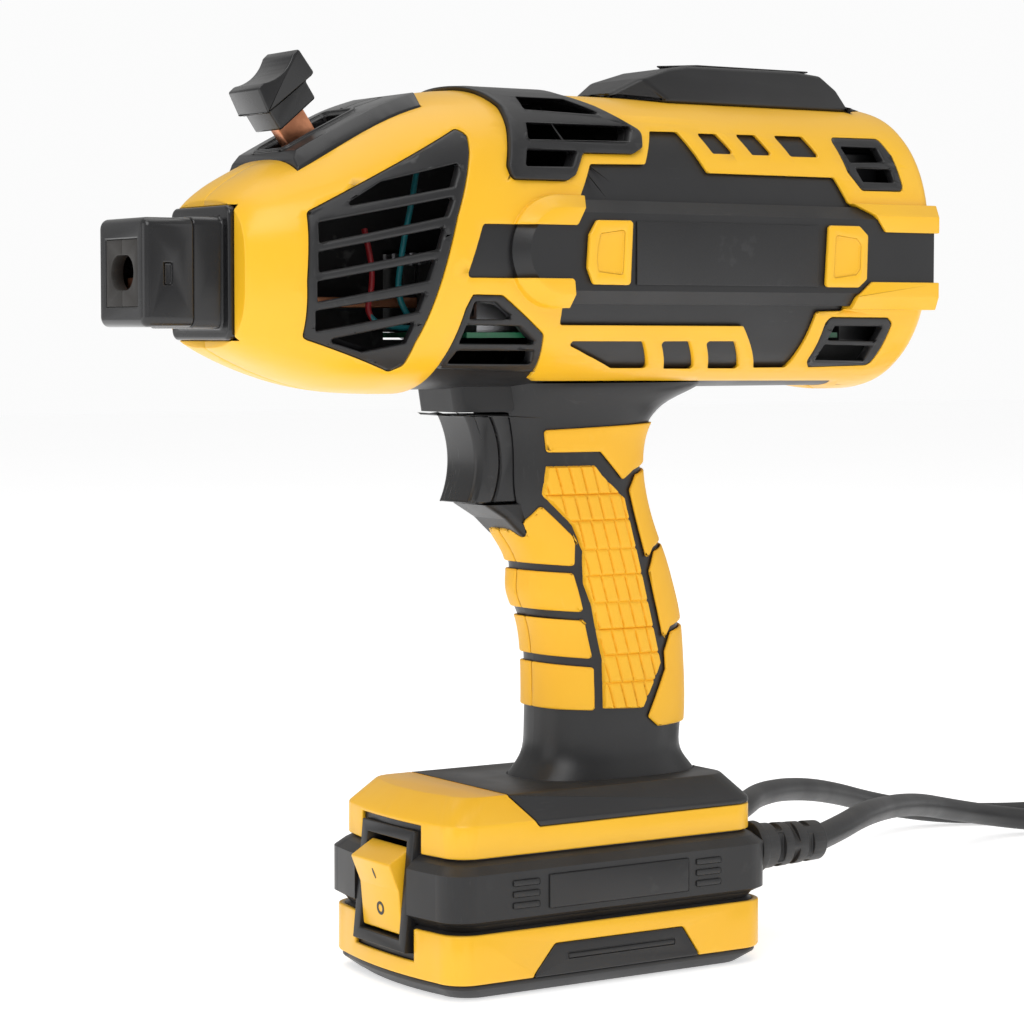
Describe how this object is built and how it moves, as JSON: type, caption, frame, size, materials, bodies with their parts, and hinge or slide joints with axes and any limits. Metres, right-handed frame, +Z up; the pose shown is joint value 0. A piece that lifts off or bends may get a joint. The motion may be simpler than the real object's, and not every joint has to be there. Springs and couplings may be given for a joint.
{
  "type": "inverter stick welder",
  "caption": "Handheld pistol-shaped inverter stick welder with a copper electrode clamp, thumb lever, trigger, flat base, rocker switch, cooling vents and free mains and earth leads.",
  "frame": {"origin": "centre of the base on the surface it stands on, z = 0 at the underside of the foot", "axes": "-X towards the electrode nose, -Y towards the side with the plain rating plate that is seen first, +Z up"},
  "size_m": [0.6043, 0.252, 0.2847],
  "materials": {
    "yellow_plastic": "satin, fine grain",
    "black_shell": "satin, fine grain",
    "black_vents": "satin",
    "black_gloss": "glossy",
    "grip_rubber": "matt, textured",
    "trigger_plastic": "satin",
    "insulator": "matt",
    "copper": "worn copper",
    "steel": "brushed",
    "spring_steel": "drawn",
    "rocker_plastic": "satin",
    "display_film": "textured film",
    "plate_plastic": "fine grain",
    "fan_plastic": "satin",
    "board": "solder mask",
    "heatsink": "extruded",
    "ferrite": "sintered",
    "foil_copper": "lacquered",
    "capacitor_sleeve": "shrink sleeve",
    "module_epoxy": "moulded",
    "switch_plastic": "satin",
    "cord_rubber": "matt",
    "plug_rubber": "matt",
    "clamp_steel": "plated",
    "insulating_sheet": "matt",
    "wire_insulation": "satin"
  },
  "bodies": {
    "housing": {"main_shell_left": "black_shell", "main_shell_right": "black_shell", "barrel_cover_left": "yellow_plastic", "barrel_cover_right": "yellow_plastic", "grip_pads_left": "grip_rubber", "grip_pads_right": "grip_rubber", "base_upper_cover": "yellow_plastic", "base_deck": "black_vents", "base_lower_cover": "yellow_plastic", "base_foot": "black_vents", "base_tabs": "black_vents", "base_plates": "black_vents", "top_vent_cap": "black_vents", "front_deck": "black_vents", "display_housing": "black_vents", "display_overlay": "display_film", "side_plates": "plate_plastic", "side_clips": "yellow_plastic", "rear_grille": "black_vents", "nose_flange": "black_gloss", "nose_block": "black_gloss", "jaw_insulator_left": "insulator", "jaw_insulator_right": "insulator", "fixed_jaw": "copper", "lever_pin": "steel", "lever_bracket": "steel", "lever_spring": "spring_steel", "trigger_spring": "spring_steel", "trigger_switch": "switch_plastic", "rocker_switch_body": "switch_plastic", "fan_frame": "fan_plastic", "main_board": "board", "heatsinks": "heatsink", "transformer_core": "ferrite", "transformer_winding": "foil_copper", "bus_capacitors": "capacitor_sleeve", "power_modules": "module_epoxy", "case_screws": "steel", "air_guide": "insulating_sheet", "signal_wires": "wire_insulation", "strain_relief_mains": "cord_rubber", "strain_relief_earth": "cord_rubber", "mains_cord": "cord_rubber", "mains_coil": "cord_rubber", "mains_plug": "plug_rubber", "earth_cable": "cord_rubber", "earth_coil": "cord_rubber", "earth_clamp_lower": "clamp_steel", "earth_clamp_pin": "steel", "earth_clamp_spring": "spring_steel", "front_grille_left": "black_vents", "front_grille_right": "black_vents", "belly_vents": "black_vents", "rear_vents": "black_vents"},
    "clamp_lever": {"clamp_lever": "copper", "lever_knob": "black_gloss"},
    "trigger": {"trigger": "trigger_plastic"},
    "rocker": {"rocker": "rocker_plastic"},
    "fan_rotor": {"fan_rotor": "fan_plastic"},
    "earth_clamp_arm": {"earth_clamp_upper": "clamp_steel"}
  },
  "joints": [
    {"name": "clamp_lever_hinge", "type": "hinge", "parent": "housing", "child": "clamp_lever", "pos_m": [-0.104, 0, 0.236], "axis": [0, 1, 0], "range_deg": [0, 9], "stiffness_Nm_per_rad": 3, "springref_deg": -6.88, "deforming": ["lever_spring"]},
    {"name": "trigger_slide", "type": "slide", "parent": "housing", "child": "trigger", "axis": [1, 0, 0], "range_m": [0, 0.006], "stiffness_N_per_m": 400, "springref_m": -0.004, "deforming": ["trigger_spring"]},
    {"name": "rocker_hinge", "type": "hinge", "parent": "housing", "child": "rocker", "pos_m": [-0.0565, 0, 0.0303], "axis": [0, 1, 0], "range_deg": [0, 18]},
    {"name": "fan_spin", "type": "hinge", "parent": "housing", "child": "fan_rotor", "pos_m": [0.0995, 0, 0.227], "axis": [1, 0, 0], "continuous": true},
    {"name": "earth_clamp_hinge", "type": "hinge", "parent": "housing", "child": "earth_clamp_arm", "pos_m": [0.4032, -0.06543, 0.01], "axis": [0, 0, 1], "range_deg": [0, 18], "stiffness_Nm_per_rad": 1.5, "springref_deg": -5.73, "deforming": ["earth_clamp_spring"]}
  ]
}
